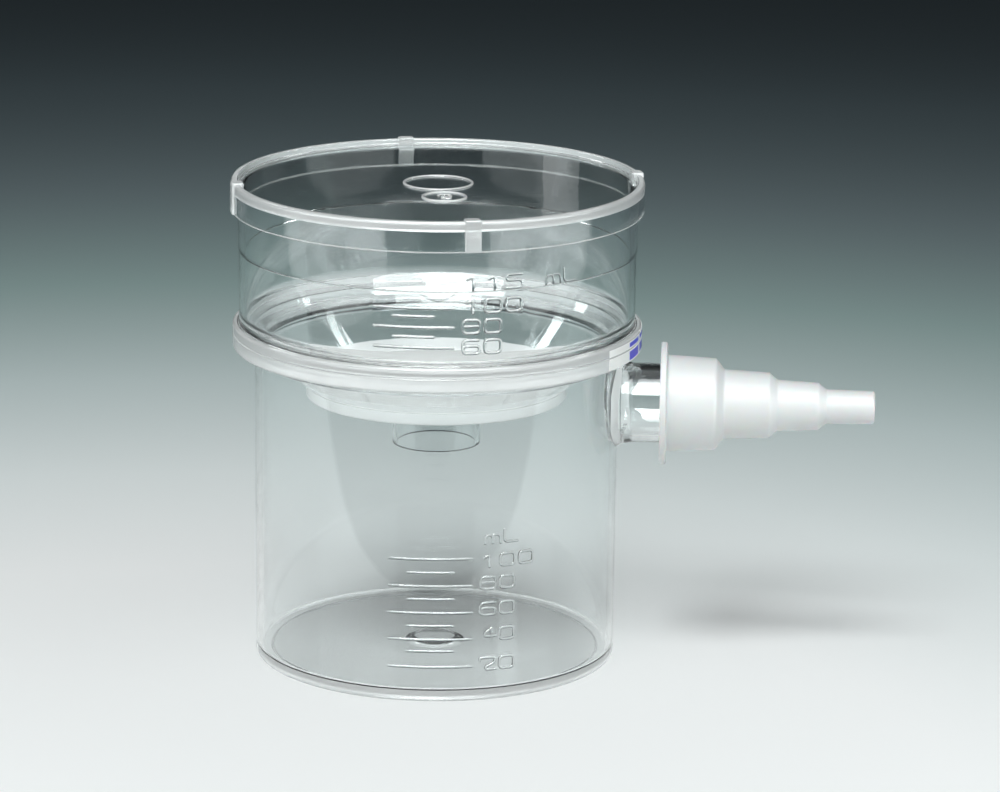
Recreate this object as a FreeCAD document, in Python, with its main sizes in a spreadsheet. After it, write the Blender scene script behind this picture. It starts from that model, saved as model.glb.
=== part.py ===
"""Vacuum filtration unit: a graduated funnel with its membrane, a graduated receiver, a lid and a
stepped tubing adapter.

Frame: millimetres, +Z up, origin at the centre of the receiver's foot, +X along the side arm.
Every size is a cell of the sheet "Dimensions" or a formula of such cells.
"""
import FreeCAD
import Part
import os

import Sketcher
from FreeCAD import Placement, Rotation, Vector

DIMENSIONS = {
    # Lid
    "lid_radius": 40.7,
    "lid_top": 96.6,
    "lid_plate_top": 95.6,
    "lid_skirt_foot": 90.5,
    "lid_skirt_wall": 1.1,
    "lid_rim_width": 1.45,
    "lug_width": 3.0,
    "lug_height": 5.4,
    "lug_stand": 0.35,
    "lug_inset": 2.2,
    "lug_cap": 0.3,
    "lug_root": 0.3,
    "lug_slope": 0.5,
    "lug_turn": 13.0,
    # Upper chamber
    "chamber_radius": 39.4,
    "chamber_wall": 1.4,
    "chamber_top": 94.9,
    "flange_radius": 40.5,
    "flange_top": 67.9,
    "joint_height": 65.9,
    "shoulder_top": 68.0,
    "shoulder_radius": 33.7,
    "shoulder_foot": 63.4,
    "cone_drop": 1.65,
    "cone_foot_radius": 24.0,
    "cone_foot": 55.7,
    # Receiver
    "receiver_radius": 36.0,
    "receiver_wall": 1.4,
    "floor_top": 2.3,
    "foot_recess": 0.6,
    "foot_inside_radius": 32.4,
    "foot_bevel": 0.8,
    "flange_foot": 63.0,
    "flare_foot": 61.6,
    "flare_radius": 37.4,
    "mouth_gap": 0.3,
    "gate_radius": 5.8,
    "gate_depth": 0.9,
    "gate_slope": 1.6,
    "dome_height": 0.7,
    # Side arm
    "arm_height": 52.0,
    "arm_radius": 7.9,
    "arm_bore_radius": 6.5,
    "arm_reach": 54.4,
    # Membrane and its support plate
    "membrane_thickness": 0.2,
    "plate_radius": 25.9,
    "plate_foot": 53.1,
    "drain_radius": 24.25,
    "drain_floor": 54.1,
    "rib_width": 0.7,
    "drain_ribs": 16,
    "cross_ribs": 8,
    "drip_tube_radius": 8.75,
    "drip_tube_wall": 0.8,
    "drip_tube_foot": 43.2,
    "rib_root": 0.3,
    # Tubing adapter, its places along the side arm measured from the unit's axis
    "adapter_start": 44.5,
    "adapter_flange_radius": 12.1,
    "adapter_flange_width": 1.3,
    "adapter_fit": 0.05,
    "step_slope": 1.6,
    "step_one_radius": 9.3,
    "step_one_end": 55.5,
    "step_two_radius": 6.7,
    "step_two_end": 66.1,
    "step_three_radius": 4.9,
    "step_three_end": 75.8,
    "step_four_radius": 3.3,
    "adapter_end": 87.0,
    "arm_stop_gap": 0.3,
    "adapter_bore_wide": 3.5,
    "adapter_bore_narrow": 2.1,
    "tip_bevel": 0.8,
    # Raised scale marks
    "mark_height": 0.55,
    "mark_stand": 0.22,
    "chamber_mark_side": -93.0,
    "chamber_long_angle": 22.0,
    "chamber_short_angle": 11.5,
    "chamber_first_mark": 71.8,
    "chamber_mark_pitch": 3.85,
    "receiver_mark_side": -88.0,
    "receiver_long_angle": 26.0,
    "receiver_short_angle": 14.0,
    "receiver_first_mark": 7.2,
    "receiver_mark_pitch": 5.45,
}

EDGE_TOLERANCE = 0.02


class Size:
    """A number together with the sheet formula that gives it."""

    def __init__(self, value, formula):
        self.value = value
        self.formula = formula

    def join(self, other, sign, value):
        return Size(value, "(" + self.formula + " " + sign + " " + other.formula + ")")

    def __add__(self, other):
        other = size(other)
        return self.join(other, "+", self.value + other.value)

    def __sub__(self, other):
        other = size(other)
        return self.join(other, "-", self.value - other.value)

    def __mul__(self, other):
        other = size(other)
        return self.join(other, "*", self.value * other.value)

    def __truediv__(self, other):
        other = size(other)
        return self.join(other, "/", self.value / other.value)


def size(number):
    """Give a plain number the form of a Size."""
    if isinstance(number, Size):
        return number
    return Size(float(number), repr(float(number)))


document = FreeCAD.newDocument("VacuumFiltrationUnit")
sheet = document.addObject("Spreadsheet::Sheet", "Dimensions")
cells = {}
for row, (alias, number) in enumerate(DIMENSIONS.items(), start=1):
    sheet.set("A" + str(row), alias)
    sheet.set("B" + str(row), str(number))
    sheet.setAlias("B" + str(row), alias)
    cells[alias] = Size(number, "Dimensions." + alias)
document.recompute()


def bind(thing, prop, amount):
    """Bind a property to its sheet formula."""
    thing.setExpression(prop, size(amount).formula)


def new_body(label):
    body = document.addObject("PartDesign::Body", label)
    body.Label = label
    return body


def origin_feature(body, role):
    return [item for item in body.Origin.OriginFeatures if item.Role == role][0]


def new_sketch(body, name, plane):
    """Start a sketch on one of its own body's origin planes."""
    sketch = body.newObject("Sketcher::SketchObject", name)
    sketch.AttachmentSupport = [(origin_feature(body, plane), "")]
    sketch.MapMode = "FlatFace"
    return sketch


def new_turned_sketch(body, name, turn):
    """Start a sketch on the XZ plane, then turn it about Z."""
    sketch = new_sketch(body, name, "XZ_Plane")
    sketch.AttachmentOffset = Placement(Vector(), Rotation(Vector(0, 1, 0), turn.value))
    bind(sketch, "AttachmentOffset.Rotation.Angle", turn)
    return sketch


def pin_point(sketch, geometry, end, across, up):
    """Fix one end of a sketch line by its two distances from the origin."""
    for kind, axis, amount in (("DistanceX", -2, across), ("DistanceY", -1, up)):
        if amount.value == 0.0:
            sketch.addConstraint(Sketcher.Constraint("PointOnObject", geometry, end, axis))
        else:
            index = sketch.addConstraint(
                Sketcher.Constraint(kind, -1, 1, geometry, end, amount.value))
            bind(sketch, "Constraints[" + str(index) + "]", amount)


def draw_outline(sketch, points):
    """Draw a closed outline of straight lines through points given as pairs of sizes."""
    points = [(size(across), size(up)) for across, up in points]
    count = len(points)
    for number, (across, up) in enumerate(points):
        next_across, next_up = points[(number + 1) % count]
        start = Vector(across.value, up.value, 0)
        end = Vector(next_across.value, next_up.value, 0)
        sketch.addGeometry(Part.LineSegment(start, end))
    for number, (across, up) in enumerate(points):
        sketch.addConstraint(
            Sketcher.Constraint("Coincident", number, 2, (number + 1) % count, 1))
        pin_point(sketch, number, 1, across, up)


def draw_disc(sketch, radius, up=0.0):
    """Draw a circle by its radius and the height of its centre."""
    centre = Vector(0, size(up).value, 0)
    sketch.addGeometry(Part.Circle(centre, Vector(0, 0, 1), radius.value))
    pin_point(sketch, 0, 3, size(0), size(up))
    index = sketch.addConstraint(Sketcher.Constraint("Radius", 0, radius.value))
    bind(sketch, "Constraints[" + str(index) + "]", radius)


def revolve(body, name, points, axis="V_Axis", kind="PartDesign::Revolution"):
    """Turn an outline in the XZ plane all the way round an axis of its sketch."""
    sketch = new_sketch(body, name + "Outline", "XZ_Plane")
    draw_outline(sketch, points)
    feature = body.newObject(kind, name)
    feature.Profile = sketch
    feature.ReferenceAxis = (sketch, [axis])
    feature.Angle = 360
    document.recompute()
    return feature


def bevel_ring(body, name, radius, place, width):
    """Bevel the ring edge that has this radius at this place along the body's X axis."""
    base = body.Tip
    edges = []
    for number, edge in enumerate(base.Shape.Edges, start=1):
        if not isinstance(edge.Curve, Part.Circle):
            continue
        off_place = abs(edge.Curve.Center.x - place.value)
        off_radius = abs(edge.Curve.Radius - radius.value)
        if max(off_place, off_radius) < EDGE_TOLERANCE:
            edges.append("Edge" + str(number))
    if not edges:
        raise RuntimeError(name + " finds no edge")
    feature = body.newObject("PartDesign::Chamfer", name)
    feature.Base = (base, edges)
    bind(feature, "Size", width)
    document.recompute()
    return feature


def repeat_around(body, name, feature, count):
    """Repeat a feature evenly about the Z axis."""
    pattern = body.newObject("PartDesign::PolarPattern", name)
    pattern.Originals = [feature]
    pattern.Axis = (origin_feature(body, "Z_Axis"), [""])
    pattern.Angle = 360
    bind(pattern, "Occurrences", count)
    body.Tip = pattern
    document.recompute()
    return pattern


def raised_marks(body, name, wall_radius, angle, side, first_height, pitch, count):
    """Raise short ribs on a round wall, one above the other, as the marks of a scale."""
    sketch = new_turned_sketch(body, name + "Section", side)
    inside = wall_radius - cells["mark_stand"]
    outside = wall_radius + cells["mark_stand"]
    half = cells["mark_height"] / 2
    draw_outline(sketch, [
        (inside, first_height - half),
        (outside, first_height - half),
        (outside, first_height + half),
        (inside, first_height + half),
    ])
    mark = body.newObject("PartDesign::Revolution", name)
    mark.Profile = sketch
    mark.ReferenceAxis = (sketch, ["V_Axis"])
    mark.Midplane = True
    bind(mark, "Angle", angle)
    document.recompute()
    pattern = body.newObject("PartDesign::LinearPattern", name + "Scale")
    pattern.Originals = [mark]
    pattern.Direction = (origin_feature(body, "Z_Axis"), [""])
    pattern.Occurrences = count
    bind(pattern, "Length", pitch * (count - 1))
    body.Tip = pattern
    document.recompute()


def mouth_radius():
    """The radius of the funnel's outside where it enters the receiver."""
    bore = cells["chamber_radius"] - cells["chamber_wall"]
    run = bore - cells["shoulder_radius"]
    rise = cells["shoulder_top"] - cells["shoulder_foot"]
    below = cells["shoulder_top"] - cells["cone_drop"] - cells["joint_height"]
    return bore - below * run / rise


def make_lid():
    """A disc with a raised rim, a skirt over the chamber's wall and four lugs on the rim."""
    body = new_body("lid")
    radius = cells["lid_radius"]
    top = cells["lid_top"]
    rim_inside = radius - cells["lid_rim_width"]
    skirt_inside = radius - cells["lid_skirt_wall"]
    revolve(body, "LidShell", [
        (0, cells["chamber_top"]),
        (skirt_inside, cells["chamber_top"]),
        (skirt_inside, cells["lid_skirt_foot"]),
        (radius, cells["lid_skirt_foot"]),
        (radius, top),
        (rim_inside, top),
        (rim_inside, cells["lid_plate_top"]),
        (0, cells["lid_plate_top"]),
    ])
    sketch = new_turned_sketch(body, "LugSection", cells["lug_turn"])
    outside = radius + cells["lug_stand"]
    inside = radius - cells["lug_inset"]
    root = cells["lid_plate_top"] - cells["lug_root"]
    foot = top - cells["lug_height"]
    draw_outline(sketch, [
        (inside, root),
        (skirt_inside + cells["lug_root"], root),
        (skirt_inside + cells["lug_root"], foot),
        (outside, foot),
        (outside, top),
        (outside - cells["lug_slope"], top + cells["lug_cap"]),
        (inside + cells["lug_slope"], top + cells["lug_cap"]),
        (inside, top),
    ])
    lug = body.newObject("PartDesign::Pad", "Lug")
    lug.Profile = sketch
    lug.Midplane = True
    bind(lug, "Length", cells["lug_width"])
    document.recompute()
    repeat_around(body, "Lugs", lug, 4)
    return body


def make_upper_chamber():
    """A graduated funnel: round wall, seating flange, shoulder and cone."""
    body = new_body("upper_chamber")
    radius = cells["chamber_radius"]
    bore = radius - cells["chamber_wall"]
    cone_run = cells["shoulder_radius"] - cells["cone_foot_radius"]
    cone_rise = cells["shoulder_foot"] - cells["cone_foot"]
    foot_radius = cells["cone_foot_radius"] + cells["cone_drop"] * cone_run / cone_rise
    revolve(body, "ChamberWall", [
        (radius, cells["chamber_top"]),
        (radius, cells["flange_top"]),
        (cells["flange_radius"], cells["flange_top"]),
        (cells["flange_radius"], cells["joint_height"]),
        (mouth_radius(), cells["joint_height"]),
        (cells["shoulder_radius"], cells["shoulder_foot"] - cells["cone_drop"]),
        (foot_radius, cells["cone_foot"]),
        (cells["cone_foot_radius"], cells["cone_foot"]),
        (cells["shoulder_radius"], cells["shoulder_foot"]),
        (bore, cells["shoulder_top"]),
        (bore, cells["chamber_top"]),
    ])
    first = cells["chamber_first_mark"]
    pitch = cells["chamber_mark_pitch"]
    side = cells["chamber_mark_side"]
    raised_marks(body, "LongMark", radius, cells["chamber_long_angle"], side, first, pitch, 3)
    raised_marks(body, "ShortMark", radius, cells["chamber_short_angle"], side,
                 first + pitch / 2, pitch, 2)
    return body


def make_membrane():
    """A thin filter disc, held between the funnel's foot and the plate's rim."""
    body = new_body("membrane")
    sketch = new_sketch(body, "MembraneCircle", "XY_Plane")
    bind(sketch, "AttachmentOffset.Base.z", cells["cone_foot"] - cells["membrane_thickness"])
    draw_disc(sketch, cells["plate_radius"])
    disc = body.newObject("PartDesign::Pad", "MembraneDisc")
    disc.Profile = sketch
    bind(disc, "Length", cells["membrane_thickness"])
    document.recompute()
    return body


def drain_rib(body, name, inner_radius, outer_radius, count):
    """Stand ribs on the drain floor, from one radius to another, evenly about the axis."""
    sketch = new_sketch(body, name + "Plan", "XY_Plane")
    foot = cells["drain_floor"] - cells["rib_root"]
    bind(sketch, "AttachmentOffset.Base.z", foot)
    half = cells["rib_width"] / 2
    draw_outline(sketch, [
        (inner_radius, size(0) - half),
        (outer_radius, size(0) - half),
        (outer_radius, half),
        (inner_radius, half),
    ])
    rib = body.newObject("PartDesign::Pad", name)
    rib.Profile = sketch
    top = cells["cone_foot"] - cells["membrane_thickness"]
    bind(rib, "Length", top - foot)
    document.recompute()
    return repeat_around(body, name + "Ring", rib, count)


def make_support_plate():
    """A shallow dish of radial drain ribs with the drip tube under its middle."""
    body = new_body("support_plate")
    tube_bore = cells["drip_tube_radius"] - cells["drip_tube_wall"]
    rim_top = cells["cone_foot"] - cells["membrane_thickness"]
    revolve(body, "Dish", [
        (cells["plate_radius"], rim_top),
        (cells["plate_radius"], cells["plate_foot"]),
        (cells["drip_tube_radius"], cells["plate_foot"]),
        (cells["drip_tube_radius"], cells["drip_tube_foot"]),
        (tube_bore, cells["drip_tube_foot"]),
        (tube_bore, cells["drain_floor"]),
        (cells["drain_radius"], cells["drain_floor"]),
        (cells["drain_radius"], rim_top),
    ])
    rib_start = tube_bore + cells["rib_root"]
    rib_end = cells["drain_radius"] + cells["rib_root"]
    drain_rib(body, "DrainRib", rib_start, rib_end, cells["drain_ribs"])
    drain_rib(body, "CrossRib", size(0), rib_end, cells["cross_ribs"])
    return body


def make_receiver():
    """A graduated cup with a rim flange and the side arm moulded on its wall."""
    body = new_body("receiver")
    radius = cells["receiver_radius"]
    inside = radius - cells["receiver_wall"]
    mouth = mouth_radius() + cells["mouth_gap"]
    run = cells["chamber_radius"] - cells["chamber_wall"] - cells["shoulder_radius"]
    rise = cells["shoulder_top"] - cells["shoulder_foot"]
    mouth_foot = cells["joint_height"] - (mouth - inside) * rise / run
    gate_inside = cells["gate_radius"] - cells["gate_slope"]
    gate_top = cells["foot_recess"] + cells["gate_depth"]
    revolve(body, "ReceiverOutside", [
        (0, gate_top),
        (gate_inside, gate_top),
        (cells["gate_radius"], cells["foot_recess"]),
        (cells["foot_inside_radius"], cells["foot_recess"]),
        (cells["foot_inside_radius"], 0),
        (radius - cells["foot_bevel"], 0),
        (radius, cells["foot_bevel"]),
        (radius, cells["flare_foot"]),
        (cells["flare_radius"], cells["flange_foot"]),
        (cells["flange_radius"], cells["flange_foot"]),
        (cells["flange_radius"], cells["joint_height"]),
        (0, cells["joint_height"]),
    ])
    sketch = new_sketch(body, "ArmCircle", "YZ_Plane")
    draw_disc(sketch, cells["arm_radius"], cells["arm_height"])
    arm = body.newObject("PartDesign::Pad", "SideArm")
    arm.Profile = sketch
    bind(arm, "Length", cells["arm_reach"])
    document.recompute()
    dome_top = cells["floor_top"] + cells["dome_height"]
    revolve(body, "ReceiverInside", [
        (0, dome_top),
        (gate_inside, dome_top),
        (cells["gate_radius"], cells["floor_top"]),
        (inside, cells["floor_top"]),
        (inside, mouth_foot),
        (mouth, cells["joint_height"]),
        (0, cells["joint_height"]),
    ], kind="PartDesign::Groove")
    sketch = new_sketch(body, "ArmBoreCircle", "YZ_Plane")
    draw_disc(sketch, cells["arm_bore_radius"], cells["arm_height"])
    arm_bore = body.newObject("PartDesign::Pocket", "ArmBore")
    arm_bore.Profile = sketch
    arm_bore.Reversed = True
    bind(arm_bore, "Length", cells["arm_reach"])
    document.recompute()
    first = cells["receiver_first_mark"]
    pitch = cells["receiver_mark_pitch"]
    side = cells["receiver_mark_side"]
    raised_marks(body, "LongMark", radius, cells["receiver_long_angle"], side, first, pitch, 5)
    raised_marks(body, "ShortMark", radius, cells["receiver_short_angle"], side,
                 first + pitch / 2, pitch, 4)
    return body


def make_tubing_adapter():
    """A stepped hose adapter, turned about the side arm's axis."""
    body = new_body("tubing_adapter")
    bind(body, "Placement.Base.z", cells["arm_height"])
    start = cells["adapter_start"]
    end = cells["adapter_end"]
    flange_end = start + cells["adapter_flange_width"]
    socket = cells["arm_radius"] + cells["adapter_fit"]
    socket_end = cells["arm_reach"] + cells["arm_stop_gap"]
    slope = cells["step_slope"]
    revolve(body, "AdapterShell", [
        (start, socket),
        (start, cells["adapter_flange_radius"]),
        (flange_end, cells["adapter_flange_radius"]),
        (flange_end, cells["step_one_radius"]),
        (cells["step_one_end"], cells["step_one_radius"]),
        (cells["step_one_end"] + slope, cells["step_two_radius"]),
        (cells["step_two_end"], cells["step_two_radius"]),
        (cells["step_two_end"] + slope, cells["step_three_radius"]),
        (cells["step_three_end"], cells["step_three_radius"]),
        (cells["step_three_end"] + slope, cells["step_four_radius"]),
        (end, cells["step_four_radius"]),
        (end, cells["adapter_bore_narrow"]),
        (cells["step_three_end"], cells["adapter_bore_narrow"]),
        (cells["step_three_end"], cells["adapter_bore_wide"]),
        (socket_end, cells["adapter_bore_wide"]),
        (socket_end, socket),
    ], axis="H_Axis")
    bevel_ring(body, "TipBevel", cells["step_four_radius"], end, cells["tip_bevel"])
    return body


def check_objects():
    """Stop if any object of the document failed to build."""
    for thing in document.Objects:
        for state in ("Invalid", "Error"):
            if state in thing.State:
                raise RuntimeError(thing.Label + " is " + state)


def write_parts(bodies):
    """Check each sub-part's solid, then write them all."""
    for body in bodies:
        if body.Shape.isNull() or not body.Shape.isValid():
            raise RuntimeError(body.Label + " has no valid shape")
    os.makedirs("parts", exist_ok=True)
    for body in bodies:
        body.Shape.exportStep("parts/" + body.Label + ".step")
        print(body.Label, len(body.Shape.Solids), "solid", round(body.Shape.Volume, 1), "mm3")


def main():
    bodies = [
        make_lid(),
        make_upper_chamber(),
        make_membrane(),
        make_support_plate(),
        make_receiver(),
        make_tubing_adapter(),
    ]
    document.recompute()
    check_objects()
    write_parts(bodies)


main()
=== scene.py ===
"""Dresses the vacuum filtration unit: fine shapes and finishes for its lid, funnel, membrane, drain
plate, receiver and tubing adapter, and the studio that it stands in.

Lengths are metres, +Z is up, and +X runs out along the side arm.
"""
import math

import bmesh
import bpy
from mathutils import Matrix, Vector


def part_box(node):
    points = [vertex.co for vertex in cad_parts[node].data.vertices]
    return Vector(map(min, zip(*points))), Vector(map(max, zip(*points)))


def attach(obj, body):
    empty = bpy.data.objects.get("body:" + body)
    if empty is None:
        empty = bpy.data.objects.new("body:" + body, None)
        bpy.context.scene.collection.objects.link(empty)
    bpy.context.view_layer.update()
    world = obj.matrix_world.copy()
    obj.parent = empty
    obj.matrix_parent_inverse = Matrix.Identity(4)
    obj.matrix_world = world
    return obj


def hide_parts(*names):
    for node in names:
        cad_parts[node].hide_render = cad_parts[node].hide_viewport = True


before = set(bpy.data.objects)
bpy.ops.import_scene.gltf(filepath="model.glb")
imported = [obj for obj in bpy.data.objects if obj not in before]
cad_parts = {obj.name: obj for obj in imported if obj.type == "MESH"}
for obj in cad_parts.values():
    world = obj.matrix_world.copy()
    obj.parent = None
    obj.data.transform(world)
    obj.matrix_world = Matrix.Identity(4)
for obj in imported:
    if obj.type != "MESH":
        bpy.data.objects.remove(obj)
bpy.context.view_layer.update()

bl_info = {
    "name": "Vacuum Filtration Unit",
    "version": (1, 0, 0),
    "blender": (4, 5, 0),
    "location": "3D View > Sidebar > Filtration",
    "description": "Builds the pieces, finishes and studio of a vacuum filtration unit",
    "category": "Add Mesh",
}

MM = 0.001
SEGMENTS = 240
ARC_STEPS = 5
FULL_TURN = 2 * math.pi
Z_AXIS = Vector((0, 0, 1))
X_AXIS = Vector((1, 0, 0))

LID_LOW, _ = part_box("lid")
FUNNEL_LOW, FUNNEL_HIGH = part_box("upper_chamber")
PLATE_LOW, PLATE_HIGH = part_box("support_plate")
MEMBRANE_LOW, MEMBRANE_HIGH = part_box("membrane")
_, RECEIVER_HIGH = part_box("receiver")
ADAPTER_LOW, ADAPTER_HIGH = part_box("tubing_adapter")

# Sizes in millimetres that several pieces or steps share.
LID_RADIUS = 40.7
LID_TOP = 96.6
FLANGE_RADIUS = 40.5
ARM_HEIGHT = 52.0
ARM_SEGMENTS = 128
BAR_STEPS = 12
NEAR_AXIS = 1e-7
WALL_END_SLACK = 0.05
WALL_SLACK = 0.02


def linear(code):
    """Turn an sRGB hex code into linear red, green, blue and an alpha of 1."""
    levels = [int(code[start:start + 2], 16) / 255 for start in (1, 3, 5)]
    low = [level / 12.92 for level in levels]
    high = [((level + 0.055) / 1.055) ** 2.4 for level in levels]
    return tuple(a if level <= 0.04045 else b
                 for a, b, level in zip(low, high, levels)) + (1.0,)


def length(name, description, millimetres):
    """A property for a length."""
    return bpy.props.FloatProperty(
        name=name, description=description, default=millimetres * MM, unit="LENGTH", min=0.0)


def colour(name, description, code):
    """A property for a colour."""
    return bpy.props.FloatVectorProperty(
        name=name, description=description, default=linear(code)[:3], subtype="COLOR", size=3,
        min=0.0, max=1.0)


class FiltrationLid(bpy.types.PropertyGroup):
    """Sizes of the lid"""
    skirt_wall: length("Skirt wall", "Thickness of the lid's skirt", 1.1)
    rim_width: length("Rim width", "Width of the raised rim", 1.45)
    plate: length("Plate", "Thickness of the lid's disc", 0.7)
    ring_radius: length("Ring radius", "Radius of the raised ring in the middle", 6.7)
    small_ring_radius: length("Small ring radius", "Radius of the ring round the number", 4.2)
    small_ring_reach: length("Small ring place", "Distance of that ring from the middle", 13.0)


class FiltrationFunnel(bpy.types.PropertyGroup):
    """Sizes of the funnel"""
    wall: length("Wall", "Thickness of the funnel's wall", 1.4)
    band_height: length("Band height", "Height of the fine step round the chamber", 82.6)
    relief: length("Relief", "Height of the scale marks and numbers off the wall", 0.30)
    letter_height: length("Letter height", "Height of the numbers", 3.25)


class FiltrationReceiver(bpy.types.PropertyGroup):
    """Sizes of the receiver"""
    wall: length("Wall", "Thickness of the receiver's wall", 1.4)
    floor: length("Floor", "Height of the inside of the floor", 2.3)
    relief: length("Relief", "Height of the scale marks and numbers off the wall", 0.28)
    letter_height: length("Letter height", "Height of the numbers", 3.0)


class FiltrationColours(bpy.types.PropertyGroup):
    """Colours of the unit and of the studio"""
    polystyrene: colour("Polystyrene", "Tint of the clear mouldings", "#FCFEFE")
    membrane: colour("Membrane", "White of the filter membrane", "#F6F7F6")
    adapter: colour("Adapter", "White of the tubing adapter", "#DADCDC")
    ink: colour("Ink", "Ink of the printed bars", "#3D3FE0")
    # The floor's two colours are painted light: a pool of light round the unit, falling off to
    # painted shade far from it.
    floor_painted_lit: colour("Floor, pale", "The floor round the unit", "#F0F1F1")
    floor_painted_falloff: colour("Floor, dark", "The floor far from the unit", "#444D52")


# ---------------------------------------------------------------- shapes

def soften(corners):
    """Round the corners of an outline given as radius, height and bend, all in millimetres."""
    outline = []
    count = len(corners)
    for number, (across, up, bend) in enumerate(corners):
        corner = Vector((across, up))
        if not bend:
            outline.append(corner)
            continue
        before = Vector(corners[number - 1][:2]) - corner
        after = Vector(corners[(number + 1) % count][:2]) - corner
        half = before.angle(after) / 2
        reach = min(bend / math.tan(half), 0.48 * before.length, 0.48 * after.length)
        bend = reach * math.tan(half)
        before.normalize()
        after.normalize()
        centre = corner + (before + after).normalized() * (bend / math.sin(half))
        start = corner + before * reach - centre
        end = corner + after * reach - centre
        sweep = start.angle_signed(end)
        for step in range(ARC_STEPS + 1):
            turned = start.copy()
            turned.rotate(Matrix.Rotation(-sweep * step / ARC_STEPS, 2))
            outline.append(centre + turned)
    return outline


def turn(corners, axis=Z_AXIS, segments=SEGMENTS, height=0.0):
    """Turn a closed outline about an axis. An outline that meets the axis closes there."""
    outline = [point * MM for point in soften(corners)]
    made = bmesh.new()
    across = Vector((1, 0, 0)) if axis is Z_AXIS else Vector((0, 1, 0))
    beside = axis.cross(across)
    rings = []
    for point in outline:
        base = axis * point.y + Vector((0, 0, height * MM))
        if point.x < NEAR_AXIS:
            rings.append([made.verts.new(base)] * segments)
            continue
        ring = []
        for number in range(segments):
            angle = FULL_TURN * number / segments
            ring.append(made.verts.new(
                base + (across * math.cos(angle) + beside * math.sin(angle)) * point.x))
        rings.append(ring)
    for number, ring in enumerate(rings):
        following = rings[(number + 1) % len(rings)]
        for step in range(segments):
            after = (step + 1) % segments
            face = [ring[step], ring[after], following[after], following[step]]
            corners_used = list(dict.fromkeys(face))
            if len(corners_used) > 2:
                made.faces.new(corners_used)
    bmesh.ops.recalc_face_normals(made, faces=made.faces)
    return made


BEAD = ((-0.50, 0.0), (-0.42, 0.50), (-0.22, 0.88), (0.0, 1.0), (0.22, 0.88), (0.42, 0.50),
        (0.50, 0.0))
BEAD_END = ((0.62, 0.80), (1.0, 0.30))

FIGURES = {
    "0": [((0, 0), (1, 0), (1, 1), (0, 1), (0, 0))],
    "1": [((0.22, 0.74), (0.58, 1), (0.58, 0))],
    "2": [((0, 0.76), (0, 1), (1, 1), (1, 0.56), (0, 0), (1.02, 0))],
    "4": [((0.74, 0), (0.74, 1)), ((0.72, 0.98), (0, 0.36), (1.05, 0.36))],
    "5": [((0.95, 1), (0, 1), (0, 0.56), (1, 0.56), (1, 0), (0, 0))],
    "6": [((0, 0), (1, 0), (1, 0.56), (0, 0.56), (0, 0)), ((0, 0.3), (0, 1), (0.92, 1))],
    "8": [((0, 0), (1, 0), (1, 1), (0, 1), (0, 0)), ((0, 0.52), (1, 0.52))],
    "m": [((0, 0), (0, 0.66), (0.52, 0.66), (0.52, 0)), ((0.52, 0.5), (0.52, 0.67), (1.04, 0.67),
          (1.04, 0))],
    "L": [((0, 1), (0, 0), (0.9, 0))],
}


def bead(points, width, proud, sunk, bend):
    """A half-round moulded line along points on a flat wall, in millimetres: X along the wall, Y
    up it and Z off it. A line that comes back to its first point is a closed loop."""
    closed = points[0] == points[-1]
    loop = points[:-1] if closed else points
    last = len(loop) - 1
    line = soften([(x, y, bend if closed or 0 < number < last else 0)
                   for number, (x, y) in enumerate(loop)])
    count = len(line)
    steps = []
    for number, point in enumerate(line):
        before = line[number - 1] if closed or number else point
        after = line[(number + 1) % count] if closed or number < count - 1 else point
        steps.append((point, (after - before).normalized(), 1.0))
    if not closed:
        for reach, size in BEAD_END:
            steps.insert(0, (line[0] - steps[0][1] * reach * width / 2, steps[0][1], size))
            steps.append((line[-1] + steps[-1][1] * reach * width / 2, steps[-1][1], size))
    made = bmesh.new()
    rows = []
    for point, along, size in steps:
        side = Vector((along.y, -along.x))
        section = [(BEAD[0][0], -sunk)] + [(across, up * proud) for across, up in BEAD]
        section.append((BEAD[-1][0], -sunk))
        rows.append([made.verts.new(Vector((
            *(point + side * across * width * size), up * size if up > 0 else up)) * MM)
            for across, up in section])
    pairs = list(zip(rows, rows[1:])) + ([(rows[-1], rows[0])] if closed else [])
    for row, following in pairs:
        for step in range(len(row)):
            after = (step + 1) % len(row)
            made.faces.new([row[step], row[after], following[after], following[step]])
    if not closed:
        made.faces.new(rows[0])
        made.faces.new(list(reversed(rows[-1])))
    bmesh.ops.recalc_face_normals(made, faces=made.faces)
    return made


def figures(words, width, height, pitch, stroke, proud, sunk):
    """Plain moulded figures in the XY plane from the origin on, as a list of closed beads."""
    beads = []
    for column, word in enumerate(words):
        for number, line in enumerate(FIGURES.get(word, ())):
            points = [(column * pitch + stroke / 2 + x * (width - stroke),
                       stroke / 2 + y * (height - stroke)) for x, y in line]
            beads.append(bead(points, stroke, proud - 0.02 * number, sunk + 0.03 * number,
                              height * 0.24))
    return beads


def bars(middle, radius, marks, stroke, proud, sunk):
    """Moulded scale bars, each given as its height and its half angle in degrees."""
    beads = []
    for up, half in marks:
        reach = math.radians(half) * radius
        points = [(math.radians(middle) * radius - reach + 2 * reach * step / BAR_STEPS, up)
                  for step in range(BAR_STEPS + 1)]
        beads.append(bead(points, stroke, proud, sunk, 0))
    return beads


def wrap(made, radius, start_angle, low):
    """Lay a flat mesh round a wall: X runs round it, Y up it and Z off it, in metres."""
    for vertex in made.verts:
        angle = math.radians(start_angle) + vertex.co.x / radius
        reach = radius + vertex.co.z
        vertex.co = Vector((reach * math.cos(angle), reach * math.sin(angle),
                            low + vertex.co.y))
    bmesh.ops.recalc_face_normals(made, faces=made.faces)
    return made


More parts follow.
